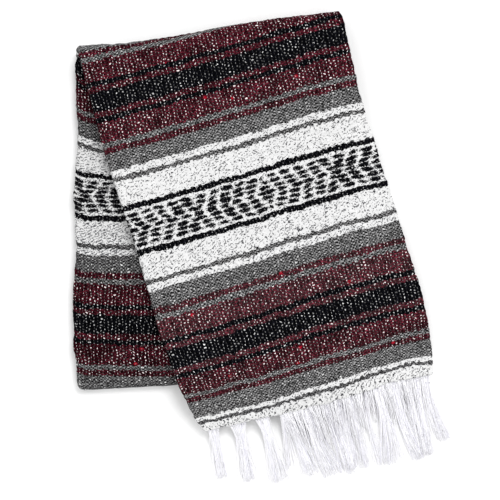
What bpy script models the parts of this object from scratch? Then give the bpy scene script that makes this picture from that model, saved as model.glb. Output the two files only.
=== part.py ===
"""A woven serape blanket, folded to a strip of eight plies that is laid over itself once, lying flat.

The strip runs from its hem, on top, up the front run, round the turn at the top, and down the back
run underneath to its end fold. A point of the folded cloth is given by a station along the strip, a
distance across it from the left edge, and a depth below the strip's outer face. Sizes are in
millimetres. X is to the right, +Y towards the turn, +Z up, and the cloth lies on Z = 0.
"""
import math

import bmesh
import bpy
from mathutils import Vector

MM = 0.001

# The strip: eight plies of heavy woven cloth
PLY = 2.1
STACK = 17.0
STRIP_WIDTH = 318.0
SEAM = 0.3
MID_STACK = STACK / 2

# A fold at the left edge takes in four plies, and the outermost one is a wall of its own
FOLD_RADIUS = 4.15
FOLD_ARC = math.radians(150)
FOLD_STEPS = 5

# Columns across the strip
FIRST_COLUMN = 12.0
LAST_COLUMN = 312.0
BACK_SELVEDGE = 315.0
FRONT_COLUMNS = 13
BACK_COLUMNS = 5

# The front run from its hem to the turn: both ends of each row across the strip
FRONT_ROWS = [
    # left_x, left_y, right_x, right_y
    (-57.1, -217.6, 223.0, -151.9),
    (-66.8, -205.1, 222.8, -132.5),
    (-77.4, -181.4, 220.6, -109.4),
    (-87.1, -161.0, 216.3, -82.6),
    (-98.4, -129.6, 208.4, -48.6),
    (-109.2, -100.8, 198.7, -19.4),
    (-123.6, -48.0, 182.3, 34.0),
    (-138.6, 3.6, 165.1, 86.2),
    (-154.8, 52.8, 147.0, 134.3),
    (-169.8, 98.4, 133.8, 178.4),
    (-183.6, 146.4, 124.4, 218.8),
    (-195.5, 190.0, 117.0, 246.0),
    (-204.6, 229.0, 112.6, 272.5),
]
FRONT_STEP = 20.0

# The back run from the turn to its end fold
BACK_ROWS = [
    # left_x, left_y, right_x, right_y
    (-213.3, 228.0, 106.0, 271.0),
    (-213.9, 176.2, 104.5, 212.7),
    (-212.1, 133.7, 105.1, 160.4),
    (-214.5, 85.1, 104.5, 103.3),
    (-213.9, 36.5, 104.5, 48.6),
    (-213.9, -12.2, 104.5, -2.4),
    (-216.3, -60.8, 103.9, -51.0),
    (-216.3, -115.5, 103.3, -103.3),
    (-211.5, -163.5, 101.0, -146.5),
]
BACK_STEP = 50.0

# The turn at the top, round an axis between the two runs
TURN_HEIGHT = STACK + SEAM / 2
TURN_STEPS = 8
CREASE_BULGE = 1.35

# The end fold of the back run, round the middle of its stack
END_STEPS = 6
END_NOSE_ANGLES = (30, 55, 75)
END_CORNER = 4.0

# The front run drapes off the back run down to the surface
DRAPE_START = 10.0
DRAPE_LENGTH = 56.0
RIGHT_EDGE_X = 104.5
END_LINE_Y = -168.4
END_LINE_X = -57.0
END_LINE_SLOPE = 0.061

# The hem rises a little towards its right end
HEM_RISE = 4.5
HEM_RISE_CENTRE = 0.84
HEM_RISE_SPREAD = 0.16
HEM_RISE_REACH = 110.0

# Edges of the hidden plies, from the strip's outer face inwards. In the front run and the turn the
# outermost ply is the front panel's, and in the back run the innermost one is the back panel's.
# Each is how far the layer's edge lies inside the strip's outline, at that depth.
PLY_EDGES = [
    # front_depth, front_left, front_right, hem, back_depth, back_left, back_right
    (2.4, 4.6, 2.0, 0.4, 0.0, 4.2, 1.6),
    (3.3, 2.8, 0.6, 0.6, 1.0, 1.5, 0.5),
    (4.25, 2.5, 2.4, 2.0, 2.1, 0.6, 2.4),
    (5.3, 4.6, 0.9, 0.8, 3.2, 0.13, 0.8),
    (7.4, 4.6, 0.9, 0.8, 4.25, 0.0, 2.4),
    (8.5, 4.6, 2.6, 2.0, 5.3, 0.13, 0.9),
    (9.6, 1.5, 1.2, 0.0, 7.4, 1.5, 0.9),
    (11.7, 0.13, 1.2, 0.0, 8.5, 4.6, 2.6),
    (12.75, 0.0, 2.4, 2.0, 9.6, 4.6, 1.2),
    (13.8, 0.13, 0.8, 0.8, 11.7, 4.6, 1.2),
    (14.9, 0.6, 2.4, 2.0, 12.75, 2.5, 2.4),
    (16.0, 1.5, 0.5, 0.5, 13.7, 2.8, 0.8),
    (17.0, 4.2, 1.6, 1.5, 14.6, 4.6, 2.0),
]
END_LEFT_INSET = 9.6
TRANSITION = 0.35

# The whole cloth's middle on the surface, in the rows' coordinates
CENTRE = (13.755, 1.452)

# Bundles of warp ends, from the hem's left end. The lean turns a bundle to the right of straight
# down the sheet.
UPPER_BUNDLES = [
    # along_hem, lean_degrees, reach, root_width, waist_width, tip_width, locks
    (12.0, 13.0, 59.0, 11.0, 8.0, 11.0, 5),
    (42.0, 11.0, 73.0, 15.0, 9.0, 14.0, 6),
    (71.0, 19.0, 78.0, 14.0, 8.0, 15.0, 6),
    (100.0, 15.0, 79.0, 9.0, 7.0, 12.0, 5),
    (124.0, 12.0, 84.0, 14.0, 11.0, 15.0, 6),
    (143.0, 11.0, 90.0, 14.0, 12.0, 15.0, 6),
    (163.0, 10.0, 92.0, 14.0, 12.0, 14.0, 6),
    (182.0, 9.0, 92.0, 14.0, 11.0, 14.0, 6),
    (201.0, 14.0, 94.0, 4.0, 3.5, 6.0, 2),
    (216.0, 14.0, 96.0, 9.0, 7.0, 17.0, 6),
    (237.0, 21.0, 94.0, 13.0, 10.0, 15.0, 6),
    (256.0, 20.0, 89.0, 13.0, 10.0, 14.0, 6),
    (275.0, 19.0, 82.0, 13.0, 10.0, 15.0, 6),
]
LOWER_BUNDLES = [
    # along_hem, lean_degrees, reach, root_width, waist_width, tip_width, locks
    (45.0, 13.0, 64.0, 11.0, 8.0, 12.0, 4),
    (75.0, 18.0, 70.0, 11.0, 8.0, 12.0, 4),
    (133.0, 15.0, 80.0, 12.0, 12.0, 14.0, 4),
    (153.0, 14.0, 84.0, 12.0, 12.0, 14.0, 4),
    (173.0, 14.0, 84.0, 12.0, 12.0, 14.0, 4),
    (240.0, 20.0, 84.0, 12.0, 11.0, 13.0, 4),
    (268.0, 20.0, 78.0, 12.0, 11.0, 13.0, 4),
]
STRIP_DEPTH = 2.4
STRIP_HEIGHT = 2.8
UPPER_ROOT_Z = 15.4
LOWER_ROOT_Z = 6.35
UPPER_TIP_Z = 2.9
LOWER_TIP_Z = 1.0
LOCK_THICKNESS = (2.2, 1.5)
LOCK_GAP = 0.4
LOCK_STATIONS = (0.0, 0.12, 0.3, 0.6, 1.0)
FALL_POWER = 2.4
TIP_STAGGER = 3.0

# Sizes of the cloth's colours and finish
CLOTH_ROUGHNESS = 0.9
COLOURS = {
    "front_panel": (0.16, 0.035, 0.045),
    "back_panel": (0.13, 0.13, 0.13),
    "hidden_layers": (0.2, 0.2, 0.2),
    "fringe_upper": (0.85, 0.85, 0.88),
    "fringe_lower": (0.8, 0.8, 0.83),
}


def clear_scene():
    """Remove every object that the scene starts with."""
    for old in list(bpy.data.objects):
        bpy.data.objects.remove(old, do_unlink=True)


def smooth(value):
    """Ease from 0 to 1."""
    held = min(max(value, 0.0), 1.0)
    return held * held * (3 - 2 * held)


def rows_through(table, step):
    """Rows on smooth curves through the table's two edges, about a step apart on the left edge."""
    rows = [(Vector(row[:2]), Vector(row[2:])) for row in table]
    padded = [rows[0]] + rows + [rows[-1]]
    made = []
    for number in range(len(rows) - 1):
        before, start, end, after = padded[number:number + 4]
        count = max(1, round((end[0] - start[0]).length / step))
        for part in range(count):
            made.append(tuple(curve_point(before[side], start[side], end[side], after[side], part / count)
                              for side in (0, 1)))
    made.append(rows[-1])
    return made


def curve_point(before, start, end, after, share):
    """Catmull-Rom point between start and end."""
    square = share * share
    cube = square * share
    return 0.5 * (2 * start + (end - before) * share
                  + (2 * before - 5 * start + 4 * end - after) * square
                  + (3 * start - before - 3 * end + after) * cube)


def uphill(row):
    """The unit vector square to a row, towards the turn."""
    along = (row[1] - row[0]).normalized()
    return Vector((-along.y, along.x))


def across(row, distance):
    """The point of a row at a distance from the left edge of the nominal strip."""
    return row[0].lerp(row[1], distance / STRIP_WIDTH)


def lift(point):
    """Height of the front run's underside: level on the back run, and down to the surface past it."""
    end_line = END_LINE_Y + (point.x - END_LINE_X) * END_LINE_SLOPE
    past_right = max(point.x - RIGHT_EDGE_X, 0.0)
    past_end = max(end_line - point.y + DRAPE_START, 0.0)
    past = math.hypot(past_right, past_end)
    return (STACK + SEAM) * (1 - smooth((past - DRAPE_START) / DRAPE_LENGTH))


def hem_rise(share, travelled):
    """How far a row near the hem is bent towards the turn, at a share of its width."""
    spread = (share - HEM_RISE_CENTRE) / HEM_RISE_SPREAD
    return HEM_RISE * math.exp(-spread * spread) * (1 - smooth(travelled / HEM_RISE_REACH))


def front_station(row, travelled):
    """Place points of the front run, whose outer face is on top."""
    up = uphill(row)

    def place(distance, depth, forward=0.0):
        point = across(row, distance)
        point = point + up * (hem_rise(distance / STRIP_WIDTH, travelled) + forward)
        return Vector((point.x, point.y, lift(point) + STACK - depth))
    return place


def turn_station(front_row, back_row, angle):
    """Place points round the turn, at an angle from the front run."""
    share = angle / math.pi
    row = (front_row[0].lerp(back_row[0], share), front_row[1].lerp(back_row[1], share))
    up = uphill(row)

    def place(distance, depth, forward=0.0):
        bulge = CREASE_BULGE * math.sin(angle) * depth / STACK
        radius = TURN_HEIGHT - depth + bulge
        point = across(row, distance) + up * radius * math.sin(angle)
        return Vector((point.x, point.y, TURN_HEIGHT + radius * math.cos(angle)))
    return place


def back_station(row, back_off=0.0):
    """Place points of the back run, whose outer face is on the surface."""
    up = uphill(row)

    def place(distance, depth, forward=0.0):
        point = across(row, distance) - up * back_off
        return Vector((point.x, point.y, depth))
    return place


def end_wall_station(row, angle):
    """Place points of the wall round the end fold, at an angle from the back run's inner face."""
    up = uphill(row)
    corner = END_CORNER * (1 - abs(math.cos(angle)))

    def place(distance, depth, forward=0.0):
        radius = depth - MID_STACK
        inset = corner * (1 - distance / STRIP_WIDTH)
        point = across(row, distance + inset) - up * radius * math.sin(angle)
        return Vector((point.x, point.y, MID_STACK + radius * math.cos(angle)))
    return place


def end_core_station(row, angle):
    """Place points of the hidden plies inside the end fold."""
    up = uphill(row)
    inner = MID_STACK - PLY - SEAM
    corner = END_CORNER * (1 - math.cos(angle))

    def place(distance, depth, forward=0.0):
        offset = depth - MID_STACK
        if offset < 0:
            offset = offset * inner / MID_STACK
        inset = corner * (1 - distance / STRIP_WIDTH)
        point = across(row, distance + inset) - up * inner * math.sin(angle)
        return Vector((point.x, point.y, MID_STACK + offset * math.cos(angle)))
    return place


def block_object(name, points):
    """A closed solid on a grid of points[row][column][level], from its six outer faces."""
    rows = len(points)
    columns = len(points[0])
    levels = len(points[0][0])
    mesh = bmesh.new()
    made = {}

    def corner(row, column, level):
        key = (row, column, level)
        if key not in made:
            made[key] = mesh.verts.new(points[row][column][level] * MM)
        return made[key]

    def skin(first_count, second_count, pick):
        for first in range(first_count - 1):
            for second in range(second_count - 1):
                low = pick(first, second)
                far = pick(first + 1, second + 1)
                mesh.faces.new((low, pick(first + 1, second), far))
                mesh.faces.new((low, far, pick(first, second + 1)))

    for level in (0, levels - 1):
        skin(rows, columns, lambda row, column: corner(row, column, level))
    for column in (0, columns - 1):
        skin(rows, levels, lambda row, step: corner(row, column, step))
    for row in (0, rows - 1):
        skin(columns, levels, lambda column, step: corner(row, column, step))
    return finished_object(name, mesh)


def finished_object(name, mesh):
    """Turn a bmesh into the named object, faces outwards, with its own material."""
    bmesh.ops.recalc_face_normals(mesh, faces=mesh.faces)
    data = bpy.data.meshes.new(name)
    mesh.to_mesh(data)
    mesh.free()
    made = bpy.data.objects.new(name, data)
    bpy.context.scene.collection.objects.link(made)
    made.location = (-CENTRE[0] * MM, -CENTRE[1] * MM, 0.0)
    data.materials.append(cloth_material(name))
    data.shade_smooth()
    data.set_sharp_from_angle(angle=math.radians(40))
    return made


def cloth_material(name):
    """Plain woven cloth of the piece's main colour."""
    material = bpy.data.materials.new(name)
    material.use_nodes = True
    shader = material.node_tree.nodes["Principled BSDF"]
    shader.inputs["Base Color"].default_value = (*COLOURS[name], 1.0)
    shader.inputs["Roughness"].default_value = CLOTH_ROUGHNESS
    shader.inputs["Metallic"].default_value = 0.0
    return material


def columns_across(count):
    """Distances across the strip between its two edge bands."""
    step = (LAST_COLUMN - FIRST_COLUMN) / count
    return [FIRST_COLUMN + step * number for number in range(count + 1)]


def wall_section(columns, selvedge, outer_depth, inwards):
    """The wall's (distance, depth) pairs, outer and inner, from inside the left fold to the selvedge.

    The wall's face lies at outer_depth, and its left fold curls the way that inwards (1 or -1) gives.
    """
    section = []
    for number in range(FOLD_STEPS + 1):
        angle = FOLD_ARC * (1 - number / FOLD_STEPS)
        pair = []
        for radius in (FOLD_RADIUS, FOLD_RADIUS - PLY):
            distance = FOLD_RADIUS - radius * math.sin(angle)
            depth = outer_depth + inwards * (FOLD_RADIUS - radius * math.cos(angle))
            pair.append((distance, depth))
        section.append(pair)
    for distance in columns + [selvedge]:
        section.append([(distance, outer_depth), (distance, outer_depth + inwards * PLY)])
    return section


def swept_wall(name, stations, section):
    """A wall of one ply, its section carried through the stations."""
    points = [[[place(*outer), place(*inner)] for outer, inner in section] for place in stations]
    return block_object(name, points)


def front_stations(rows):
    """Stations of the front run, hem first, without the turn's own row."""
    travelled = 0.0
    stations = []
    for number, row in enumerate(rows[:-1]):
        if number:
            travelled += (row[0] - rows[number - 1][0]).length
        stations.append(front_station(row, travelled))
    return stations


def turn_stations(front_row, back_row):
    """Stations round the turn, its first and last rows included."""
    return [turn_station(front_row, back_row, math.pi * step / TURN_STEPS)
            for step in range(TURN_STEPS + 1)]


def make_front_panel(front_rows, back_rows):
    """The top ply of the front run, on over the turn to the surface."""
    stations = front_stations(front_rows) + turn_stations(front_rows[-1], back_rows[0])
    section = wall_section(columns_across(FRONT_COLUMNS), STRIP_WIDTH, 0.0, 1)
    return swept_wall("front_panel", stations, section)


def make_back_panel(back_rows):
    """The top ply of the back run, on round its end fold to the surface."""
    stations = [back_station(back_rows[0], 2 * TRANSITION + SEAM)]
    stations += [back_station(row) for row in back_rows[1:-1]]
    stations += [end_wall_station(back_rows[-1], math.pi * step / END_STEPS)
                 for step in range(END_STEPS + 1)]
    section = wall_section(columns_across(BACK_COLUMNS), BACK_SELVEDGE, STACK, -1)
    return swept_wall("back_panel", stations, section)


def make_hidden_layers(front_rows, back_rows):
    """All plies between and under the two panels, layered at the edges."""
    columns = columns_across(FRONT_COLUMNS)
    points = []

    def add(place, side, hem_share=0.0, least_left=0.0):
        grid = [[] for _ in range(len(columns) + 2)]
        for edge in PLY_EDGES:
            front_depth, front_left, front_right, hem, back_depth, back_left, back_right = edge
            depth, left, right = front_depth, front_left, front_right
            if side == "back":
                depth, left, right = back_depth, back_left, back_right
            distances = [max(left, least_left)] + columns + [STRIP_WIDTH - right]
            for column, distance in enumerate(distances):
                grid[column].append(place(distance, depth, hem * hem_share))
        points.append(grid)

    for number, place in enumerate(front_stations(front_rows)):
        add(place, "front", hem_share=1.0 if number == 0 else 0.0)
    for place in turn_stations(front_rows[-1], back_rows[0]):
        add(place, "front")
    add(back_station(back_rows[0], TRANSITION), "front")
    add(back_station(back_rows[0], 2 * TRANSITION), "back")
    for row in back_rows[1:-1]:
        add(back_station(row), "back")
    end_row = back_rows[-1]
    add(back_station(end_row, -SEAM), "back")
    for angle in (0,) + END_NOSE_ANGLES:
        add(end_core_station(end_row, math.radians(angle)), "back", least_left=END_LEFT_INSET)
    return block_object("hidden_layers", points)


def bundle_width(bundle, share):
    """Width of a bundle: narrowest a third of the way down, widest at its tip."""
    root, waist, tip = bundle[3:6]
    if share < 0.3:
        return root + (waist - root) * smooth(share / 0.3)
    return waist + (tip - waist) * smooth((share - 0.3) / 0.7)


def lock_rings(hem_row, bundle, number, root_z, tip_z):
    """Four-sided rings of one lock, from its root on the backing strip to its tip."""
    along_hem, lean, reach, _, _, _, locks = bundle
    hem_length = (hem_row[1] - hem_row[0]).length
    direction = Vector((math.sin(math.radians(lean)), -math.cos(math.radians(lean))))
    sideways = Vector((direction.y, -direction.x)) * -1
    spot = number - (locks - 1) / 2
    tip_cut = TIP_STAGGER * math.cos(2.4 * number + along_hem)
    rings = []
    for share in LOCK_STATIONS:
        width = bundle_width(bundle, share)
        pitch = width / locks
        half = (pitch - LOCK_GAP) / 2
        thickness = LOCK_THICKNESS[0] + (LOCK_THICKNESS[1] - LOCK_THICKNESS[0]) * share
        root = strip_point(hem_row, along_hem / hem_length, STRIP_DEPTH + SEAM)
        if share == 0.0:
            hem_along = (hem_row[1] - hem_row[0]).normalized()
            middle = root + hem_along * spot * pitch
            side = hem_along
        else:
            middle = root + direction * (reach + tip_cut) * share + sideways * spot * pitch
            side = sideways
        height = tip_z + (root_z + lift(root) - tip_z) * (1 - share) ** FALL_POWER
        ring = []
        for turn_side, turn_up in ((-1, -1), (1, -1), (1, 1), (-1, 1)):
            flat = middle + side * half * turn_side
            ring.append(Vector((flat.x, flat.y, height + turn_up * thickness / 2)))
        rings.append(ring)
    return rings


def strip_point(hem_row, share, forward):
    """A point in front of the hem, at a share of its width."""
    up = uphill(hem_row)
    return hem_row[0].lerp(hem_row[1], share) + up * (hem_rise(share, 0.0) - forward)


def make_fringe(name, hem_row, bundles, root_z, tip_z):
    """Locks of warp ends, drawn out of the front face of a narrow strip along the hem."""
    mesh = bmesh.new()
    hem_length = (hem_row[1] - hem_row[0]).length
    low, high = root_z - STRIP_HEIGHT / 2, root_z + STRIP_HEIGHT / 2
    previous = None

    def strip_ring(share, front=None):
        """Four corners of the strip's section; the front pair may be a lock's own root corners."""
        ring = []
        for forward, level in ((SEAM, low), (SEAM, high), (SEAM + STRIP_DEPTH, high),
                               (SEAM + STRIP_DEPTH, low)):
            flat = strip_point(hem_row, share, forward)
            base = strip_point(hem_row, share, SEAM + STRIP_DEPTH)
            ring.append(mesh.verts.new(Vector((flat.x, flat.y, level + lift(base))) * MM))
        return ring

    def join(first, second, open_front):
        for side in range(4):
            if side == 2 and open_front:
                continue
            after = (side + 1) % 4
            mesh.faces.new((first[side], first[after], second[after], second[side]))

    for bundle in bundles:
        locks = bundle[6]
        pitch = bundle_width(bundle, 0.0) / locks
        for number in range(locks):
            rings = lock_rings(hem_row, bundle, number, root_z, tip_z)
            spot = bundle[0] + (number - (locks - 1) / 2) * pitch
            half = (pitch - LOCK_GAP) / 2
            left = strip_ring((spot - half) / hem_length)
            right = strip_ring((spot + half) / hem_length)
            if previous is None:
                mesh.faces.new(left)
            else:
                join(previous, left, False)
            join(left, right, True)
            grow_lock(mesh, (left[3], right[3], right[2], left[2]), rings[1:])
            previous = right
    mesh.faces.new(previous)
    bmesh.ops.triangulate(mesh, faces=mesh.faces)
    return finished_object(name, mesh)


def grow_lock(mesh, root, rings):
    """Skin a lock from its root corners through its rings, and close its tip."""
    last = root
    for ring in rings:
        fresh = [mesh.verts.new(point * MM) for point in ring]
        for side in range(4):
            after = (side + 1) % 4
            mesh.faces.new((last[side], last[after], fresh[after], fresh[side]))
        last = fresh
    mesh.faces.new(last)


def main():
    """Build the folded blanket."""
    clear_scene()
    front_rows = rows_through(FRONT_ROWS, FRONT_STEP)
    back_rows = rows_through(BACK_ROWS, BACK_STEP)
    make_front_panel(front_rows, back_rows)
    make_back_panel(back_rows)
    make_hidden_layers(front_rows, back_rows)
    hem_row = front_rows[0]
    make_fringe("fringe_upper", hem_row, UPPER_BUNDLES, UPPER_ROOT_Z, UPPER_TIP_Z)
    make_fringe("fringe_lower", hem_row, LOWER_BUNDLES, LOWER_ROOT_Z, LOWER_TIP_Z)


main()
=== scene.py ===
"""Looks of the folded serape blanket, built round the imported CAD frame.

The strip of cloth runs from its hem, on top, up the front run, round the turn, and down the back run
to its end fold. A place on it is given by its row along the strip, a distance across from the left
edge, and a depth below the strip's outer face. Lengths are in millimetres until a mesh is made.
Stripes are placed by a cloth coordinate in pattern units, 0 at the middle of a black band.
"""
import math
from collections import namedtuple

import bpy
import numpy as np
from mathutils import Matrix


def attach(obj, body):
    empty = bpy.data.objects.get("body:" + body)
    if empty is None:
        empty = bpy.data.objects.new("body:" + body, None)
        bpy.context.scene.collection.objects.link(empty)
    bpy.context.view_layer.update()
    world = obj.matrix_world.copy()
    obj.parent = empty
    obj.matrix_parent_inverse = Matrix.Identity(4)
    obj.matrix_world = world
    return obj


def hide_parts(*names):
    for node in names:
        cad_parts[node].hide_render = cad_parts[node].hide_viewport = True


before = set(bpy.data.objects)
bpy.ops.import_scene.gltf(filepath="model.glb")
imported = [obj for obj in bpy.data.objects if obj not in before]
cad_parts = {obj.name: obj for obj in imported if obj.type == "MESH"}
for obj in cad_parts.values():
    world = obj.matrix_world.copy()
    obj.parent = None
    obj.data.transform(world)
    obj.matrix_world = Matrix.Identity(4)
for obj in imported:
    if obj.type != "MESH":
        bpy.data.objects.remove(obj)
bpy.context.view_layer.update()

MM = 0.001
CENTRE = (13.755, 1.452)

# The photograph's frame, in pixels, and the camera's height over the surface
PHOTO_SIZE = 500
FOCAL = 1300
MIDDLE = PHOTO_SIZE / 2
CAMERA_HEIGHT = 1600.0
SENSOR = 36.0

# The strip, as in the CAD source
PLY = 2.1
STACK = 17.0
WIDTH = 318.0
SEAM = 0.3
MID_STACK = STACK / 2
FOLD_RADIUS = 4.15
FOLD_ARC = math.radians(150)
BACK_SELVEDGE = 315.0
TURN_HEIGHT = STACK + SEAM / 2
CREASE_BULGE = 1.35
END_CORNER = 4.0
DRAPE_START = 10.0
DRAPE_LENGTH = 56.0
RIGHT_EDGE_X = 104.5
END_LINE_Y = -168.4
END_LINE_X = -57.0
END_LINE_SLOPE = 0.061
HEM_RISE = 4.5
HEM_RISE_CENTRE = 0.84
HEM_RISE_SPREAD = 0.16
HEM_RISE_REACH = 110.0

FRONT_ROWS = [
    # left_x, left_y, right_x, right_y
    (-57.1, -217.6, 223.0, -151.9),
    (-66.8, -205.1, 222.8, -132.5),
    (-77.4, -181.4, 220.6, -109.4),
    (-87.1, -161.0, 216.3, -82.6),
    (-98.4, -129.6, 208.4, -48.6),
    (-109.2, -100.8, 198.7, -19.4),
    (-123.6, -48.0, 182.3, 34.0),
    (-138.6, 3.6, 165.1, 86.2),
    (-154.8, 52.8, 147.0, 134.3),
    (-169.8, 98.4, 133.8, 178.4),
    (-183.6, 146.4, 124.4, 218.8),
    (-195.5, 190.0, 117.0, 246.0),
    (-204.6, 229.0, 112.6, 272.5),
]
BACK_ROWS = [
    # left_x, left_y, right_x, right_y
    (-213.3, 228.0, 106.0, 271.0),
    (-213.9, 176.2, 104.5, 212.7),
    (-212.1, 133.7, 105.1, 160.4),
    (-214.5, 85.1, 104.5, 103.3),
    (-213.9, 36.5, 104.5, 48.6),
    (-213.9, -12.2, 104.5, -2.4),
    (-216.3, -60.8, 103.9, -51.0),
    (-216.3, -115.5, 103.3, -103.3),
    (-211.5, -163.5, 101.0, -146.5),
]

# Grid sizes of the visible cloth
FRONT_STEP = 1.75
TURN_STEPS = 32
BACK_STEP = 2.4
END_STEPS = 14
FOLD_STEPS = 9
COLUMN_STEP = 1.75
BORDER_RADIUS = PLY / 2
BORDER_BACK = (3.0, 6.5)
BORDER_STEPS = 4
BORDER_WAY = 3.0

# Stripes, in pattern units
UNIT = 0.296
BACK_UNIT = 0.286
HALF_REPEAT = 545.0
HEM_LEVEL = 372.0
STRIPE_ANGLE = math.radians(14.6)
FRONT_FACE = 34.0
# Places down the front run's seen left edge in the photograph's frame, and the stripe levels at ticks
EDGE_PLACES = ((80, 50), (84, 75), (95, 110), (108, 145), (113, 172), (127, 215), (137, 252),
               (150, 292), (160, 335), (177, 385), (203, 432))
TICKS_PER_PIXEL = 4.07
EDGE_TICKS = (60, 224, 764, 1311, 1475, 1575, 1608, 1640)
EDGE_LEVELS = (-1260, -1090, -545, 0, 170, 288, 336, 372)
LEVEL_PER_TICK = 1.037
EDGE_STEPS = 200
# Where a stripe that starts at a level on the left edge passes further across, in pattern units
BEND_ACROSS = (0, 50, 108, 150, 189, 225, 261, 289, 318)
BEND_LEVELS = (-1300, -900, -545, -330, 0, 120, 300)
BENDS = (
    (-2.0, -0.4, -1.1, -3.1, -6.5, -12.0, -17.3, -17.6, -17.7),
    (1.6, 1.8, -1.0, -4.7, -8.5, -13.5, -17.9, -17.6, -17.2),
    (3.3, 2.3, -1.7, -6.3, -9.8, -15.0, -19.9, -19.1, -17.9),
    (5.2, 3.0, -2.4, -9.5, -14.7, -19.1, -23.3, -21.5, -19.9),
    (7.6, 4.8, -0.7, -9.8, -17.8, -21.2, -24.4, -22.6, -20.7),
    (8.3, 6.0, 2.2, -6.6, -14.5, -16.9, -19.4, -16.9, -15.7),
    (8.8, 8.8, 9.5, 1.5, -6.2, -8.3, -10.7, -6.4, -6.1),
)
# Near the hem the stripes keep their distance from it, but for these shifts in pattern units
HEM_ACROSS = (104, 140, 194, 240)
HEM_SHIFTS = (-20.0, -11.0, -6.5, -8.5)
HEM_NEAR = 22.0
HEM_FADE = 45.0
# How far the turn swells out, in millimetres, at distances from the left edge
SWELL_ACROSS = (0, 29, 45, 115, 130, 158, 172, 202, 245, 274, 318)
SWELLS = (1.5, 0.8, -1.6, -1.6, -0.9, 0.3, 1.8, 3.4, 2.7, 2.0, 1.2)
# How far the hem hangs below its row, in millimetres, at distances from the left edge
DROP_ACROSS = (0, 30, 50, 92, 124, 160, 187, 229, 271, 318)
DROPS = (3.8, 3.0, 2.8, 4.6, 5.4, 3.6, 1.8, 2.6, 1.4, 1.2)
HEM_SCALLOP = 1.0
SCALLOP_REACH = 10.0
# How far the front run's selvedge bulges out, by its place up the surface
BULGE_Y = (60, 78, 92, 114, 132, 142, 154, 168, 177, 187, 205, 223, 241, 259, 272)
BULGES = (0.0, 1.4, 0.3, 2.4, 4.6, 4.0, 2.4, 2.2, 2.6, 0.7, 1.3, 1.4, 2.8, 2.0, 1.3)
BULGE_REACH = 45.0
# How far the back run's left fold is drawn in, by its place up the surface
DRAW_Y = (-168, -146, -134, -122, -113, -101, -85, -76, -49, -34, -24, -15, 0, 5, 15, 41, 56, 63, 72, 78,
          93, 127, 144, 156, 168, 188, 202, 217)
DRAWN_IN = (0.6, 1.8, 2.6, 0.6, 0.4, 1.9, 1.3, 0.4, 0.2, 1.0, 0.3, 1.5, 1.4,
            2.5, 0.6, -0.6, 0.0, -2.4, -0.6, 0.7, 0.8, 1.1, 2.2, 2.9, 1.5, 1.4, 1.4, 0.0)
DRAW_REACH = 30.0
# The back run's stripes: where the black band lies, their slope by place up the surface, their dip at
# the fold, and how high they lie
BLACK_Y = -90.7
SLOPE_Y = (60, 90, 130)
SLOPES = (0.018, 0.09, 0.24)
SLOPE_X = -214.0
SLOPE_REACH = 90.0
DIP = 5.0
DIP_REACH = 16.0
HIGH_Y = (-151, -110, -83, -49, -34, -15, 12, 61, 85)
HIGH = (0.5, 0.0, 1.5, 0.6, 1.2, 2.9, 1.6, 1.0, 0.0)

# Relief of the visible cloth: slubs, ribs, dents, slow dents and the loops at its edges
RELIEF = (
    # cell_across, cell_down, height
    (7.0, 3.6, 0.42),
    (2.4, 14.0, 0.14),
    (34.0, 26.0, 0.55),
    (90.0, 60.0, 0.5),
    (4.0, 3.7, 0.8),
)
UNDER_RELIEF = 0.35
FRONT_SEED = 11
BACK_SEED = 31
BACK_RELIEF = 0.6
BACK_WAY = 72.8
CREST_TURN = 1.57
GROUND_RIM = 3.0
HEM_WAY = np.array([-9.0, -5.0, -1.8, -1.2, -0.4, 0.4, BORDER_RADIUS])[:, None]
HEM_WAY_LEAST = -3.0
RUN_START = BORDER_RADIUS + 0.4
FLAT_AFTER_TURN = 40.0
FLAT_FADE = 10.0


# ---- the folded strip's form

def smooth(value):
    """Ease from 0 to 1."""
    held = np.clip(value, 0.0, 1.0)
    return held * held * (3 - 2 * held)


def rows_through(table, step):
    """Rows on smooth curves through the table's two edges, about a step apart on the left edge."""
    rows = np.array(table, float)
    padded = np.vstack([rows[:1], rows, rows[-1:]])
    made = []
    for number in range(len(rows) - 1):
        before, start, end, after = padded[number:number + 4]
        count = max(1, round(math.dist(start[:2], end[:2]) / step))
        for part in range(count):
            share = part / count
            made.append(0.5 * (2 * start + (end - before) * share
                               + (2 * before - 5 * start + 4 * end - after) * share ** 2
                               + (3 * start - before - 3 * end + after) * share ** 3))
    made.append(rows[-1])
    return np.array(made)


def travelled_along(rows):
    """Distance along the strip from its first row, measured down the middle."""
    middle = (rows[:, :2] + rows[:, 2:]) / 2
    steps = np.linalg.norm(np.diff(middle, axis=0), axis=1)
    return np.concatenate([[0.0], np.cumsum(steps)])


def uphill(rows):
    """The unit vectors square to the rows, towards the turn."""
    along = rows[..., 2:] - rows[..., :2]
    along = along / np.linalg.norm(along, axis=-1, keepdims=True)
    return np.stack([-along[..., 1], along[..., 0]], axis=-1)


def across(rows, distance):
    """Points of rows at distances from the left edge."""
    share = (distance / WIDTH)[..., None]
    return rows[..., :2] * (1 - share) + rows[..., 2:] * share


def lift(flat):
    """Height of the front run's underside: level on the back run, and down to the surface past it."""
    end_line = END_LINE_Y + (flat[..., 0] - END_LINE_X) * END_LINE_SLOPE
    past_right = np.maximum(flat[..., 0] - RIGHT_EDGE_X, 0.0)
    past_end = np.maximum(end_line - flat[..., 1] + DRAPE_START, 0.0)
    past = np.hypot(past_right, past_end)
    return (STACK + SEAM) * (1 - smooth((past - DRAPE_START) / DRAPE_LENGTH))


def hem_rise(share, travelled):
    """How far rows near the hem are bent towards the turn, at a share of their width."""
    spread = (share - HEM_RISE_CENTRE) / HEM_RISE_SPREAD
    return HEM_RISE * np.exp(-spread * spread) * (1 - smooth(travelled / HEM_RISE_REACH))


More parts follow.
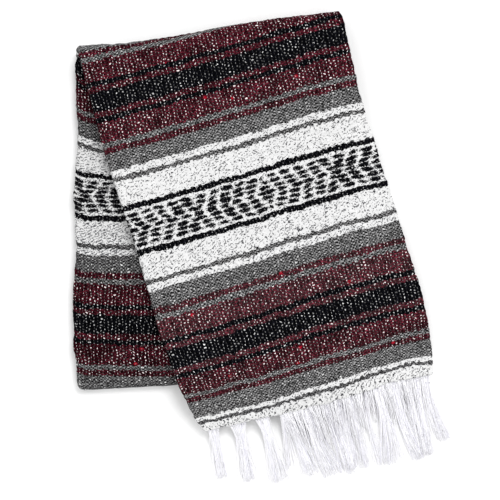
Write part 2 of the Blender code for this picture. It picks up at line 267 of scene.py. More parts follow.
def spatial(flat, height):
    """Points from their places on the surface and their heights."""
    height = np.broadcast_to(height, flat.shape[:-1])
    return np.concatenate([flat, height[..., None]], axis=-1)


def front_points(rows, travelled, distance, depth, forward=0.0):
    """Points of the front run, whose outer face is on top."""
    shift = hem_rise(distance / WIDTH, travelled) + forward
    flat = across(rows, distance) + uphill(rows) * shift[..., None]
    return spatial(flat, lift(flat) + STACK - depth)


def turn_points(angle, distance, depth):
    """Points round the turn, at angles from the front run."""
    share = (angle / math.pi)[..., None]
    rows = np.array(FRONT_ROWS[-1]) * (1 - share) + np.array(BACK_ROWS[0]) * share
    radius = TURN_HEIGHT - depth + CREASE_BULGE * np.sin(angle) * depth / STACK
    out = (radius + np.interp(distance, SWELL_ACROSS, SWELLS)) * np.sin(angle)
    flat = across(rows, distance) + uphill(rows) * out[..., None]
    return spatial(flat, TURN_HEIGHT + radius * np.cos(angle))


def back_points(rows, distance, depth, off=0.0):
    """Points of the back run, whose outer face is on the surface."""
    return spatial(across(rows, distance) - uphill(rows) * off, depth)


def end_points(angle, distance, depth):
    """Points of the wall round the end fold, at angles from the back run's inner face."""
    row = np.array(BACK_ROWS[-1])
    radius = depth - MID_STACK
    inset = END_CORNER * (1 - np.abs(np.cos(angle))) * (1 - distance / WIDTH)
    flat = across(row, distance + inset) - uphill(row) * (radius * np.sin(angle))[..., None]
    return spatial(flat, MID_STACK + radius * np.cos(angle))


NOISE_SIZE = 256


def noise(first, second, cell, seed):
    """Smooth noise between -1 and 1 over a plane, with cells of the given size."""
    table = np.random.default_rng(seed).uniform(-1.0, 1.0, (NOISE_SIZE, NOISE_SIZE))
    along, down = first / cell[0], second / cell[1]
    column, row = np.floor(along).astype(int), np.floor(down).astype(int)
    part_along, part_down = smooth(along - column), smooth(down - row)

    def value(add_column, add_row):
        return table[(row + add_row) % NOISE_SIZE, (column + add_column) % NOISE_SIZE]

    top = value(0, 0) * (1 - part_along) + value(1, 0) * part_along
    bottom = value(0, 1) * (1 - part_along) + value(1, 1) * part_along
    return top * (1 - part_down) + bottom * part_down


# ---- where the stripes lie

def up_stripes(x, y):
    """How far up places lie, square to the stripes' direction."""
    return y * math.cos(STRIPE_ANGLE) - x * math.sin(STRIPE_ANGLE)


def front_level(top, rise=0.0):
    """Cloth coordinate of points on the front run's outer face, rise being the way round the turn."""
    seen = (CAMERA_HEIGHT - FRONT_FACE) / (CAMERA_HEIGHT - top[..., 2])
    return level_at_height(seen * up_stripes(top[..., 0], top[..., 1])) - rise / UNIT


def left_edge_levels():
    """Heights up the stripes on the seen left edge, and the cloth coordinates there."""
    places = np.array(EDGE_PLACES, float)
    scale = (CAMERA_HEIGHT - FRONT_FACE) / FOCAL
    height = up_stripes((places[:, 0] - MIDDLE) * scale, (MIDDLE - places[:, 1]) * scale)
    steps = np.linalg.norm(np.diff(places, axis=0), axis=1)
    ticks = np.concatenate([[0.0], np.cumsum(steps)]) * TICKS_PER_PIXEL
    fine = np.linspace(0, ticks[-1], EDGE_STEPS)
    levels = np.interp(fine, EDGE_TICKS, EDGE_LEVELS)
    levels += np.minimum(fine - EDGE_TICKS[0], 0.0) * LEVEL_PER_TICK
    return np.interp(fine, ticks, height), levels


SEEN_HEIGHTS, SEEN_LEVELS = left_edge_levels()


def level_at_height(height):
    """Cloth coordinate on the left edge at a height, carried on evenly past both ends."""
    level = np.interp(-height, -SEEN_HEIGHTS, SEEN_LEVELS)
    above = np.maximum(height - SEEN_HEIGHTS[0], 0.0)
    below = np.maximum(SEEN_HEIGHTS[-1] - height, 0.0)
    return level + (below - above) / UNIT


def bent(level, distance):
    """The cloth coordinate with the stripes' slow bends across the strip taken in."""
    bend = 0.0
    for number, row in enumerate(BENDS):
        marks = np.zeros(len(BENDS))
        marks[number] = 1.0
        bend = bend + np.interp(distance, BEND_ACROSS, row) * np.interp(level, BEND_LEVELS, marks)
    return level - bend


def hem_level(distance, travelled):
    """Cloth coordinate measured from the hem."""
    return HEM_LEVEL + np.interp(distance, HEM_ACROSS, HEM_SHIFTS) - travelled / UNIT


def front_cloth_level(top, distance, travelled, rise=0.0):
    """Cloth coordinate on the front run, measured from the hem close to it."""
    level = bent(front_level(top, rise), distance)
    near_hem = 1 - smooth((travelled - HEM_NEAR) / HEM_FADE)
    return level * (1 - near_hem) + hem_level(distance, travelled) * near_hem


def back_cloth_level(flat, distance, past_end=0.0):
    """Cloth coordinate on the back run's seen face."""
    x, y = flat[..., 0], flat[..., 1]
    slope = np.interp(y, SLOPE_Y, SLOPES)
    dip = DIP * np.clip(1 - distance / DIP_REACH, 0.0, 1.0) ** 2
    straight = y + slope * np.minimum(x - SLOPE_X, SLOPE_REACH) - dip - np.interp(y, HIGH_Y, HIGH)
    return (-(straight - BLACK_Y) + past_end) / BACK_UNIT


# ---- meshes

def linked(name, data):
    """A new object in the scene."""
    thing = bpy.data.objects.new(name, data)
    bpy.context.scene.collection.objects.link(thing)
    return thing


def mesh_object(name, vertices, faces, cloth, material):
    """A piece from its points in millimetres, its faces and its points' cloth coordinates."""
    placed = (vertices - np.array([CENTRE[0], CENTRE[1], 0.0])) * MM
    data = bpy.data.meshes.new(name)
    data.from_pydata(placed.tolist(), [], faces.tolist(), shade_flat=False)
    attribute = data.attributes.new("cloth", "FLOAT_VECTOR", "POINT")
    attribute.data.foreach_set("vector", cloth.astype(np.float32).ravel())
    data.materials.append(material)
    piece = linked(name, data)
    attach(piece, "root")
    return piece


def quads(index):
    """Quads between the points of a grid of point numbers."""
    corners = [index[:-1, :-1], index[:-1, 1:], index[1:, 1:], index[1:, :-1]]
    return np.stack(corners, axis=-1).reshape(-1, 4)


def grid_faces(shape):
    """Quads of a grid of points, facing up where rows run towards the turn."""
    return quads(np.arange(shape[0] * shape[1]).reshape(shape))


def grid_normals(points):
    """Unit normals of a grid of points."""
    down = np.gradient(points, axis=0)
    along = np.gradient(points, axis=1)
    normal = np.cross(along, down)
    return normal / np.maximum(np.linalg.norm(normal, axis=-1, keepdims=True), 1e-9)


def border_arc():
    """How far out and how far down the border's rounded edge goes, step by step."""
    angle = math.pi * np.arange(BORDER_STEPS + 1) / BORDER_STEPS
    return BORDER_RADIUS * np.sin(angle), BORDER_RADIUS * (1 - np.cos(angle))


def sheet_section(selvedge):
    """Distances, depths and way across of a sheet, from inside its left fold to its turned selvedge."""
    angle = FOLD_ARC * (1 - np.arange(FOLD_STEPS + 1) / FOLD_STEPS)
    end = selvedge - BORDER_RADIUS
    count = round((end - FOLD_RADIUS) / COLUMN_STEP)
    face = FOLD_RADIUS + (end - FOLD_RADIUS) * np.arange(1, count + 1) / count
    out, down = border_arc()
    border_way = end + BORDER_RADIUS * math.pi * np.arange(1, BORDER_STEPS + 1) / BORDER_STEPS
    back = np.array(BORDER_BACK)
    back_way = border_way[-1] + BORDER_WAY * np.arange(1, len(back) + 1)
    distance = [FOLD_RADIUS - FOLD_RADIUS * np.sin(angle), face, end + out[1:], end - back]
    depth = [FOLD_RADIUS - FOLD_RADIUS * np.cos(angle), 0.0 * face, down[1:], PLY + 0.0 * back]
    way = [FOLD_RADIUS * (1 - angle), face, border_way, back_way]
    return np.concatenate(distance), np.concatenate(depth), np.concatenate(way)


def shown_share(section_depth):
    """1 where a sheet's section is on its outer face, and less where it is turned under."""
    return 1 - np.clip(section_depth / PLY, 0.0, 1.0)


def near(value, place, reach):
    """1 at a place, and 0 from a reach away from it."""
    return np.clip(1 - np.abs(value - place) / reach, 0.0, 1.0)


def relief(points, way, down, seed, amount, rim):
    """Move a sheet's points along their normals by its slubs, its slow unevenness and its edge loops."""
    made = [noise(way, down, wave[:2], seed + number) * wave[2] for number, wave in enumerate(RELIEF)]
    slubs, ribs, dents, slow_dents, loops = made
    out = (slubs + ribs + (dents + slow_dents)) * amount + loops * rim
    return points + grid_normals(points) * out[..., None]


def rim_weight(distance, selvedge):
    """1 at a sheet's left fold and at its selvedge, 0 away from them."""
    return near(distance, 0.0, reach=5.0) + near(distance, selvedge, reach=4.0)


def bulged(distance, rows, share=1.0):
    """Distances across with a share of the selvedge's bulge added near it."""
    out = np.interp(rows[..., 3], BULGE_Y, BULGES) * share
    return distance + out * smooth(1 - (WIDTH - distance) / BULGE_REACH)


def drawn_in(distance, rows):
    """Distances across with the back run's left fold drawn in."""
    inset = np.interp(rows[..., 1], DRAW_Y, DRAWN_IN)
    return distance + inset * smooth(1 - distance / DRAW_REACH)


def scallop(distance, travelled):
    """How far the hem hangs down between its drawn-in places."""
    wave = noise(distance, 0.0 * distance, cell=(17.0, 1.0), seed=71) * HEM_SCALLOP
    drop = np.interp(distance, DROP_ACROSS, DROPS) + wave
    return -drop * (1 - smooth(travelled / SCALLOP_REACH))


def hem_part(row, section, section_depth):
    """The hem's rounded border: points, cloth coordinates and ways down."""
    out, down = border_arc()
    forward = np.concatenate([BORDER_BACK[::-1], (BORDER_RADIUS - out)[::-1]])[:, None]
    hem_depth = np.concatenate([[PLY] * len(BORDER_BACK), down[::-1]])[:, None]
    depth = section_depth + hem_depth * shown_share(section_depth)
    points = front_points(row, 0.0, section, depth, forward + scallop(section, 0.0))
    level = hem_level(section, np.maximum(HEM_WAY, HEM_WAY_LEAST))
    return points, level, HEM_WAY + 0.0 * section


def run_part(rows, travelled, section, section_depth):
    """The front run between its hem and the turn: points, cloth coordinates and ways down."""
    distance = bulged(section, rows)
    points = front_points(rows, travelled, distance, section_depth, scallop(distance, travelled))
    top = front_points(rows, travelled, distance, 0.0)
    return points, front_cloth_level(top, distance, travelled), travelled + 0.0 * distance


def turn_part(end, section, section_depth):
    """The cloth round the turn, down to the surface: points, cloth coordinates and ways down."""
    angle = np.linspace(0, math.pi, TURN_STEPS + 1)[:, None]
    distance = bulged(section, np.array(FRONT_ROWS[-1]), (1 + np.cos(angle)) / 2)
    top = turn_points(0.0 * angle, distance, 0.0)
    rise = TURN_HEIGHT * angle
    level = front_cloth_level(top, distance, end, rise)
    return turn_points(angle, distance, section_depth), level, end + rise + 0.0 * distance


def sheet_object(name, points, way, level, number, turn, material):
    """A sheet from its grid of points, with its number, and its faces turned over if turn is -1."""
    cloth = np.stack(np.broadcast_arrays(way, level, number), axis=-1)
    faces = grid_faces(level.shape)[:, ::turn]
    return mesh_object(name, points.reshape(-1, 3), faces, cloth, material)


def make_front_cloth(material):
    """The top ply of the front run, its border turned under, on over the turn to the surface."""
    rows = rows_through(FRONT_ROWS, FRONT_STEP)
    travelled = travelled_along(rows)
    end = travelled[-1]
    section, section_depth, way = sheet_section(WIDTH)
    shown = shown_share(section_depth)
    run = travelled > RUN_START
    parts = [hem_part(rows[0], section, section_depth),
             run_part(rows[run][:-1, None], travelled[run][:-1, None], section, section_depth),
             turn_part(end, section, section_depth)]
    points, level, down = (np.concatenate(made) for made in zip(*parts))
    off_ground = 1 - smooth((down - (end + FLAT_AFTER_TURN)) / FLAT_FADE)
    crest = near(down - end, TURN_HEIGHT * CREST_TURN, reach=12.0)
    rim = np.maximum(np.maximum(crest, near(down, 0.0, reach=3.0)) * shown, rim_weight(section, WIDTH))
    amount = (UNDER_RELIEF + (1 - UNDER_RELIEF) * shown) * off_ground
    points = relief(points, way, down, FRONT_SEED, amount, rim * off_ground)
    return sheet_object("front_cloth", points, way, level, 0.0, 1, material)


def back_run_part(section, section_depth):
    """The back run from the turn to its end fold: points and cloth coordinates."""
    rows = rows_through(BACK_ROWS, BACK_STEP)[:-1, None]
    distance = drawn_in(section, rows)
    off = np.zeros((len(rows), 1, 1))
    off[0] = 1.0
    points = back_points(rows, distance, STACK - section_depth, off)
    return points, back_cloth_level(points, distance)


def end_part(section, section_depth):
    """The back run's end fold, round to the surface: points and cloth coordinates."""
    angle = np.linspace(0, math.pi, END_STEPS + 1)[:, None]
    distance = drawn_in(section, np.array(BACK_ROWS[-1]))
    start = end_points(0.0 * angle, distance, STACK - section_depth)
    level = back_cloth_level(start, distance, MID_STACK * angle)
    return end_points(angle, distance, STACK - section_depth), level


def make_back_cloth(material):
    """The top ply of the back run, on round its end fold to the surface."""
    section, section_depth, way = sheet_section(BACK_SELVEDGE)
    parts = [back_run_part(section, section_depth), end_part(section, section_depth)]
    points, level = (np.concatenate(made) for made in zip(*parts))
    amount = (UNDER_RELIEF + (1 - UNDER_RELIEF) * shown_share(section_depth)) * BACK_RELIEF
    rim = rim_weight(section, BACK_SELVEDGE) * np.clip(points[..., 2] / GROUND_RIM, 0.0, 1.0)
    points = relief(points, way, -level * BACK_UNIT, BACK_SEED, amount, rim)
    points[..., 2] = np.maximum(points[..., 2], 0.0)
    return sheet_object("back_cloth", points, way + BACK_WAY, level, 1.0, -1, material)


# ---- the hidden layers

PLIES = 8
NOTCH = 2.3
NOTCH_ROUND = 0.96
TRANSITION = 0.35
LAYER_STEP = 3.0
LAYER_TURN_STEPS = 18
LAYER_WAY = 0.9
TOP_LAYER = 2.4
LAYER_ACROSS = np.linspace(12.0, 312.0, 14)
LAYER_DEPTHS = np.linspace(TOP_LAYER, STACK, 43)
LAYER_SHAPE = (len(LAYER_ACROSS) + 2, len(LAYER_DEPTHS))
# How far in the hidden selvedges and left folds lie
SELVEDGE_INSET = 1.1
SELVEDGE_LEAST = 0.15
INNER_FOLD = 2.5
INNER_FOLD_ROUND = 0.5
INNER_FOLD_MOST = 4.6
FOLD_FRAY = 0.35


def ply_notch(depth):
    """How far in the ply edges lie at a depth: rounded plies with notches between them."""
    ply = np.clip(np.floor(depth / PLY), 1, PLIES - 1)
    middle = (ply + 0.5) * PLY
    offset = np.clip(np.abs(depth - middle) / (PLY / 2), 0.0, 1.0)
    return NOTCH * (1 - np.sqrt(1 - NOTCH_ROUND * offset ** 2)), ply


def right_inset(depth, down):
    """Inset of the hidden plies' selvedges, uneven along the strip."""
    notch, ply = ply_notch(depth)
    sway = noise(down, ply * 37.0, cell=(70.0, 1.0), seed=51) * 0.5
    sway = sway + noise(down, ply * 53.0, cell=(3.6, 1.0), seed=52) * 0.4
    return np.maximum(SELVEDGE_INSET + sway, SELVEDGE_LEAST) + notch


def circle_inset(depth, middle):
    """Inset of a fold whose outer face is a circle round a middle depth."""
    offset = np.clip((depth - middle) / FOLD_RADIUS, -1.0, 1.0)
    return FOLD_RADIUS * (1 - np.sqrt(1 - offset ** 2))


def left_inset(depth, down):
    """Inset of the hidden plies' left folds: inner folds under the panel's own, and a full fold below."""
    inner = INNER_FOLD + circle_inset(depth, FOLD_RADIUS) * INNER_FOLD_ROUND
    outer = circle_inset(depth, STACK - FOLD_RADIUS)
    held = np.where(depth < MID_STACK + 0.1, np.minimum(inner, INNER_FOLD_MOST), outer)
    return held + np.maximum(noise(down, depth, cell=(4.0, 3.0), seed=61), 0.0) * FOLD_FRAY


def layer_distances(down):
    """Distances across of the hidden layers' points, at a way down the strip."""
    made = np.empty(LAYER_SHAPE)
    made[1:-1] = LAYER_ACROSS[:, None]
    made[0] = left_inset(LAYER_DEPTHS, down)
    made[-1] = WIDTH - right_inset(LAYER_DEPTHS, down)
    return made


def front_layer(row, travelled, at_hem):
    """The hidden layers under a row of the front run: points and cloth coordinates."""
    distance = layer_distances(travelled)
    forward = ply_notch(LAYER_DEPTHS)[0] * at_hem + scallop(distance, travelled)
    top = front_points(row, travelled, distance, 0.0)
    level = front_cloth_level(top, distance, travelled)
    points = front_points(row, travelled, distance, LAYER_DEPTHS, forward)
    return points, level + at_hem * LAYER_DEPTHS / UNIT


def turn_layer(angle, end):
    """The hidden layers at an angle round the turn: points and cloth coordinates."""
    distance = layer_distances(end + TURN_HEIGHT * angle)
    points = turn_points(angle + 0.0 * distance, distance, LAYER_DEPTHS)
    return points, back_cloth_level(points, distance)


def back_layer(row, down, at_turn):
    """The hidden layers under a row of the back run: points and cloth coordinates."""
    distance = layer_distances(down)
    distance[0] = drawn_in(distance[0], row)
    points = back_points(row, distance, STACK - LAYER_DEPTHS, 2 * TRANSITION * at_turn)
    return points, back_cloth_level(points, distance)


def make_inner_layers(material):
    """All plies between and under the two panels, layered at the edges."""
    rows = rows_through(FRONT_ROWS, LAYER_STEP)
    travelled = travelled_along(rows)
    end = travelled[-1]
    made = [front_layer(row, travelled[number], number == 0) for number, row in enumerate(rows[:-1])]
    made += [turn_layer(angle, end) for angle in np.linspace(0, math.pi, LAYER_TURN_STEPS + 1)]
    rows = rows_through(BACK_ROWS, LAYER_STEP)
    down = end + TURN_HEIGHT * math.pi + travelled_along(rows)
    made += [back_layer(row, down[number], number == 0) for number, row in enumerate(rows[:-1])]
    points, level = (np.stack(part) for part in zip(*made))
    across_strip = np.linspace(0, WIDTH, LAYER_SHAPE[0])[:, None]
    ways = np.broadcast_to(across_strip + LAYER_DEPTHS * LAYER_WAY, level.shape)
    return block_object("inner_layers", points, ways, level, material)


def block_object(name, points, ways, level, material):
    """A closed piece on a grid of points[row][column][level], from its six outer faces."""
    outer = np.zeros(level.shape, bool)
    for axis in range(3):
        np.moveaxis(outer, axis, 0)[[0, -1]] = True
    index = np.full(outer.shape, -1)
    index[outer] = np.arange(outer.sum())
    faces = []
    for axis in (2, 1, 0):
        for end in (0, -1):
            inwards = (end == 0) != (axis == 1)
            turn = [1, 2, 3, 0] if inwards else [0, 3, 2, 1]
            faces.append(quads(np.take(index, end, axis))[:, turn])
    cloth = np.stack([ways, level, np.full_like(level, 2.0)], axis=-1)
    return mesh_object(name, points[outer], np.concatenate(faces), cloth[outer], material)


# ---- the fringe

# The columns of the tables of bundles
Bundle = namedtuple("Bundle", "along_hem lean_degrees bow reach root_width waist_width tip_width strands")
UPPER_BUNDLES = [
    (12.4, 9.0, -0.6, 66.0, 13.4, 10.4, 12.3, 70),
    (42.2, 10.0, 0.9, 77.2, 23.1, 10.4, 16.0, 90),
    (72.3, 16.8, 1.6, 86.8, 18.2, 9.8, 20.9, 84),
    (97.9, 8.3, 1.0, 73.4, 4.9, 4.9, 7.4, 26),
    (97.9, 25.4, 2.5, 88.8, 7.3, 11.0, 20.9, 84),
    (128.0, 20.5, -3.0, 94.7, 8.5, 11.0, 20.9, 84),
    (151.6, 19.4, 0.8, 97.3, 6.1, 9.8, 16.0, 66),
    (170.4, 11.0, -0.1, 90.6, 12.2, 9.8, 13.5, 70),
    (183.4, 13.2, -0.9, 93.7, 7.3, 8.5, 11.1, 54),
    (201.9, 14.7, -2.1, 97.5, 2.4, 3.7, 6.1, 14),
    (197.5, 14.6, -0.4, 97.4, 2.4, 2.4, 4.9, 8),
    (217.1, 11.1, 3.1, 99.8, 9.7, 6.1, 23.3, 84),
    (239.1, 19.3, -3.9, 103.6, 12.2, 12.2, 14.7, 90),
    (255.9, 13.4, -0.9, 101.6, 3.6, 6.1, 9.8, 36),
    (267.6, 10.0, -1.0, 98.5, 10.9, 8.5, 11.1, 60),
    (278.6, 16.5, -3.4, 85.7, 10.9, 9.8, 13.5, 74),
    # Loose strands that lie high between the bundles
    (111.5, 21.5, 0.0, 60.0, 25.0, 20.0, 16.0, 100),
    (140.0, 17.5, 0.0, 60.0, 20.0, 14.0, 14.0, 80),
    (159.5, 14.5, 0.0, 58.0, 14.0, 12.0, 12.0, 56),
    (178.0, 12.0, 0.0, 60.0, 10.0, 9.0, 12.0, 50),
    (191.0, 13.0, 0.0, 54.0, 13.0, 9.0, 8.0, 40),
    (208.0, 12.5, 0.0, 46.0, 14.0, 10.0, 8.0, 40),
    (222.0, 13.0, 0.0, 50.0, 7.0, 7.0, 8.0, 30),
    (229.5, 16.0, 0.0, 56.0, 13.0, 10.0, 12.0, 50),
    (250.0, 15.5, 0.0, 60.0, 14.0, 12.0, 12.0, 66),
    (261.5, 12.0, 0.0, 56.0, 9.0, 8.0, 10.0, 40),
]
LOWER_BUNDLES = [
    (44.0, 11.0, 0.5, 66.0, 11.0, 8.0, 12.0, 18),
    (131.0, 20.0, -1.0, 82.0, 8.0, 10.0, 17.0, 26),
    (154.0, 18.0, 0.0, 84.0, 8.0, 10.0, 16.0, 26),
    (175.0, 12.0, 0.0, 84.0, 12.0, 10.0, 15.0, 26),
    (250.0, 16.0, -1.0, 84.0, 12.0, 11.0, 13.0, 20),
]
FALL_POWER = 3.2
LOOSE_FALL_POWER = 1.0
STRAND_STEPS = 15
LOOSE_REACH = 61.0
STRAND_RADIUS = 0.33
STRAND_TAPER = 0.65
# A bundle is narrowest at this share of its length
WAIST = 0.3
# Strands: the share that stray, and how far their lean, length and path vary
STRAY_SHARE = 0.11
STRAY_LEAN = 6.0
OWN_LEAN = 2.0
RAGGED = 0.06
LOOSE_RAGGED = 0.4
LONGEST = 1.03
SHORTEST = 0.3
ROUND_TIP = 2.0
ROOT_INSIDE = 2.2
ROOT_SETTLE = 0.12
WANDER = 0.33
WAVE = 0.8
PILE = 0.5
PILE_GROWTH = 0.3
RIPPLE = 0.4
FULL_WAVE = 6.3
GROUND_GAP = 0.35
LOOSE_TONE = 0.5


def bundle_widths(bundle, share):
    """Width of a bundle along its length: narrowest at its waist, widest at its tip."""
    root, waist, tip = bundle.root_width, bundle.waist_width, bundle.tip_width
    upper = root + (waist - root) * smooth(share / WAIST)
    lower = waist + (tip - waist) * smooth((share - WAIST) / (1 - WAIST))
    return np.where(share < WAIST, upper, lower)


def hem_place(hem_row, share):
    """A place on the hem's row at a share of its length."""
    return hem_row[:2] + (hem_row[2:] - hem_row[:2]) * share


def strand_offset(bundle, spot, share, draw):
    """How far a strand lies beside its bundle's middle line."""
    wander = np.cumsum(draw.normal(0, 1.0, STRAND_STEPS))
    wander = wander - wander[0]
    wave = math.sin(draw.uniform(0, FULL_WAVE))
    wave = wave + np.sin(share * draw.uniform(3, 8) + draw.uniform(0, FULL_WAVE))
    offset = spot * bundle_widths(bundle, share) + wander * WANDER * share + wave * WAVE * share
    return offset + bundle.bow * np.sin(math.pi * share)


def strand_height(start, tip_z, loose, share, draw):
    """How high a strand lies from its root to its tip."""
    pile = draw.uniform(-1, 1) * (PILE + PILE_GROWTH * share)
    fall = LOOSE_FALL_POWER if loose else FALL_POWER
    height = tip_z + (start - tip_z) * (1 - share) ** fall + pile
    height += np.sin(share * draw.uniform(2, 6) + draw.uniform(0, FULL_WAVE)) * RIPPLE * share
    return np.maximum(height, STRAND_RADIUS + GROUND_GAP)


def strand_path(hem_row, bundle, root_z, tip_z, draw):
    """The points that one strand follows, from inside the hem to its tip."""
    loose = bundle.reach <= LOOSE_REACH
    hem_length = math.dist(hem_row[:2], hem_row[2:])
    stray = draw.uniform() < STRAY_SHARE
    lean = math.radians(bundle.lean_degrees + draw.normal(0, STRAY_LEAN if stray else OWN_LEAN))
    direction = np.array([math.sin(lean), -math.cos(lean)])
    sideways = np.array([-direction[1], direction[0]])
    spot = draw.uniform(-1, 1) * 0.5
    ragged = abs(draw.normal(0, LOOSE_RAGGED if loose else RAGGED))
    own_reach = bundle.reach * max(LONGEST - ragged, SHORTEST) - ROUND_TIP * abs(spot)
    share = np.linspace(0, 1, STRAND_STEPS)
    settle = smooth(share / ROOT_SETTLE)[:, None]
    up = uphill(hem_row)
    root_share = (bundle.along_hem + spot * bundle.root_width) / hem_length
    rise = hem_rise(root_share, 0.0)
    root = hem_place(hem_row, root_share) + up * (rise + ROOT_INSIDE)
    middle = hem_place(hem_row, bundle.along_hem / hem_length) + up * rise
    offset = strand_offset(bundle, spot, share, draw)
    flat = middle + direction * (own_reach * share)[:, None] + sideways * offset[:, None]
    flat = root * (1 - settle) + flat * settle
    return spatial(flat, strand_height(lift(root) + root_z, tip_z, loose, share, draw))


def tube(path, radius, start_index):
    """Points and faces of a three-sided strand along a path, closed at both ends."""
    tangent = np.gradient(path, axis=0)
    tangent /= np.linalg.norm(tangent, axis=1, keepdims=True)
    side = np.cross(tangent, (0.0, 0.0, 1.0))
    side /= np.maximum(np.linalg.norm(side, axis=1, keepdims=True), 1e-6)
    over = np.cross(side, tangent)
    rings = []
    thickness = radius * np.linspace(1.0, STRAND_TAPER, len(path))[:, None]
    for corner in range(3):
        angle = 2 * math.pi * corner / 3 + math.pi / 6
        rings.append(path + (side * math.cos(angle) + over * math.sin(angle)) * thickness)
    points = np.stack(rings, axis=1)
    index = np.arange(len(path) * 3).reshape(len(path), 3) + start_index
    after = np.roll(index, -1, axis=1)
    quads = np.stack([index[:-1], index[1:], after[1:], after[:-1]], axis=-1).reshape(-1, 4)
    triangles = np.concatenate([quads[:, [0, 1, 2]], quads[:, [0, 2, 3]],
                                index[:1], index[-1:, ::-1]])
    return points.reshape(-1, 3), triangles


def make_fringe(name, bundles, root_z, tip_z, seed, material):
    """Fine strands in loose bundles, drawn out of the hem and laid on the surface."""
    draw = np.random.default_rng(seed)
    hem_row = np.array(FRONT_ROWS[0])
    points, faces, cloth = [], [], []
    count = 0
    for number, row in enumerate(bundles):
        bundle = Bundle(*row)
        least_tone = 0.0 if bundle.reach > LOOSE_REACH else LOOSE_TONE
        for _ in range(bundle.strands):
            path = strand_path(hem_row, bundle, root_z, tip_z, draw)
            made, triangles = tube(path, STRAND_RADIUS * draw.uniform(0.8, 1.2), count)
            points.append(made)
            faces.append(triangles)
            along = np.repeat(np.linspace(0, 1, len(path)), 3)
            tone = np.full(len(made), draw.uniform(least_tone, 1.0))
            cloth.append(np.stack([tone, along, np.full(len(made), number + 0.5)], axis=-1))
            count += len(made)
    return mesh_object(name, np.concatenate(points), np.concatenate(faces), np.concatenate(cloth),
                       material)


# ---- materials

def operation(name, last=False):
    """A method that puts a term, first or last, through a math node."""
    def apply(term, *others):
        values = (*others, term) if last else (term, *others)
        return term.graph.math(name, *values)
    return apply


class Term:
    """A value in a material's nodes, which can be written in sums."""

    __add__ = operation("ADD")
    __sub__ = operation("SUBTRACT")
    __rsub__ = operation("SUBTRACT", last=True)
    __mul__ = operation("MULTIPLY")
    __truediv__ = operation("DIVIDE")
    __pow__ = operation("POWER")
    __abs__ = operation("ABSOLUTE")
    __gt__ = operation("GREATER_THAN")
    __lt__ = operation("LESS_THAN")
    floor = operation("FLOOR")
    nearest = operation("ROUND")
    sine = operation("SINE")
    folded = operation("PINGPONG")
    at_least = operation("MAXIMUM")
    at_most = operation("MINIMUM")
    equals = operation("COMPARE")

    def __init__(self, graph, socket):
        self.graph = graph
        self.socket = socket

    def swing(self, width):
        """A value from 0 to 1 as an offset to both sides, over a width."""
        return (self - 0.5) * width

    def spread(self, low, high, to_low=0.0, to_high=1.0, kind="SMOOTHSTEP"):
        """The value eased from one range to another."""
        values = enumerate((self, low, high, to_low, to_high))
        return self.graph.term("ShaderNodeMapRange", dict(values), interpolation_type=kind)

    def ranged(self, low, high, to_low, to_high):
        """The value moved evenly from one range to another."""
        return self.spread(low, high, to_low, to_high, "LINEAR")


class Graph:
    """Short calls for building a material's nodes."""

    def __init__(self, name):
        self.material = bpy.data.materials.new(name)
        self.material.use_nodes = True
        self.tree = self.material.node_tree
        self.shader = self.tree.nodes["Principled BSDF"]

    def node(self, kind, values, **settings):
        """A new node with its settings and inputs."""
        node = self.tree.nodes.new(kind)
        for key, value in settings.items():
            setattr(node, key, value)
        self.feed(node, values)
        return node

    def feed(self, node, values):
        """Link or set a node's inputs, named or numbered."""
        for key, value in values.items():
            if isinstance(value, Term):
                self.tree.links.new(value.socket, node.inputs[key])
            else:
                node.inputs[key].default_value = value

    def term(self, kind, values, output=0, **settings):
        """One output of a new node."""
        return Term(self, self.node(kind, values, **settings).outputs[output])

    def math(self, name, *values):
        return self.term("ShaderNodeMath", dict(enumerate(values)), operation=name)

    def vector(self, *values):
        return self.term("ShaderNodeCombineXYZ", dict(enumerate(values)))

    def grey(self, value):
        return self.vector(value, value, value)

    def noise(self, vector, detail):
        values = {"Vector": vector, "Scale": 1.0, "Detail": detail}
        return self.term("ShaderNodeTexNoise", values, "Fac")

    def random(self, *values):
        vector = self.vector(*values)
        return self.term("ShaderNodeTexWhiteNoise", {"Vector": vector}, "Value", noise_dimensions="3D")

    def mix(self, factor, first, second, blend="MIX"):
        values = {0: factor, 6: first, 7: second}
        return self.term("ShaderNodeMix", values, 2, data_type="RGBA", blend_type=blend)

    def tinted(self, colour, tint):
        return self.mix(1.0, colour, tint, "MULTIPLY")

    def split(self, kind, value):
        """The three parts of a vector or colour."""
        return [Term(self, socket) for socket in self.node(kind, {0: value}).outputs]

    def cloth_place(self):
        """The three parts of the cloth coordinates."""
        place = self.term("ShaderNodeAttribute", {}, "Vector", attribute_name="cloth")
        return self.split("ShaderNodeSeparateXYZ", place)

    def ramp(self, value, stops):
        """A colour that changes at once at each stop."""
        node = self.node("ShaderNodeValToRGB", {0: value})
        ramp = node.color_ramp
        ramp.interpolation = "CONSTANT"
        while len(ramp.elements) < len(stops):
            ramp.elements.new(0.5)
        for element, (place, colour) in zip(ramp.elements, stops):
            element.position = place
            element.color = (*colour, 1.0)
        return Term(self, node.outputs["Color"])

    def finish(self, colour, roughness, specular):
        """Give the shader its colour, roughness and specular level."""
        self.feed(self.shader, {"Base Color": colour, "Roughness": roughness,
                                "Specular IOR Level": specular})
        return self.material


def linear(*values):
    """Linear colour from 0-255 display values."""
    made = []
    for value in values:
        share = value / 255
        made.append(share / 12.92 if share <= 0.04045 else ((share + 0.055) / 1.055) ** 2.4)
    return tuple(made)


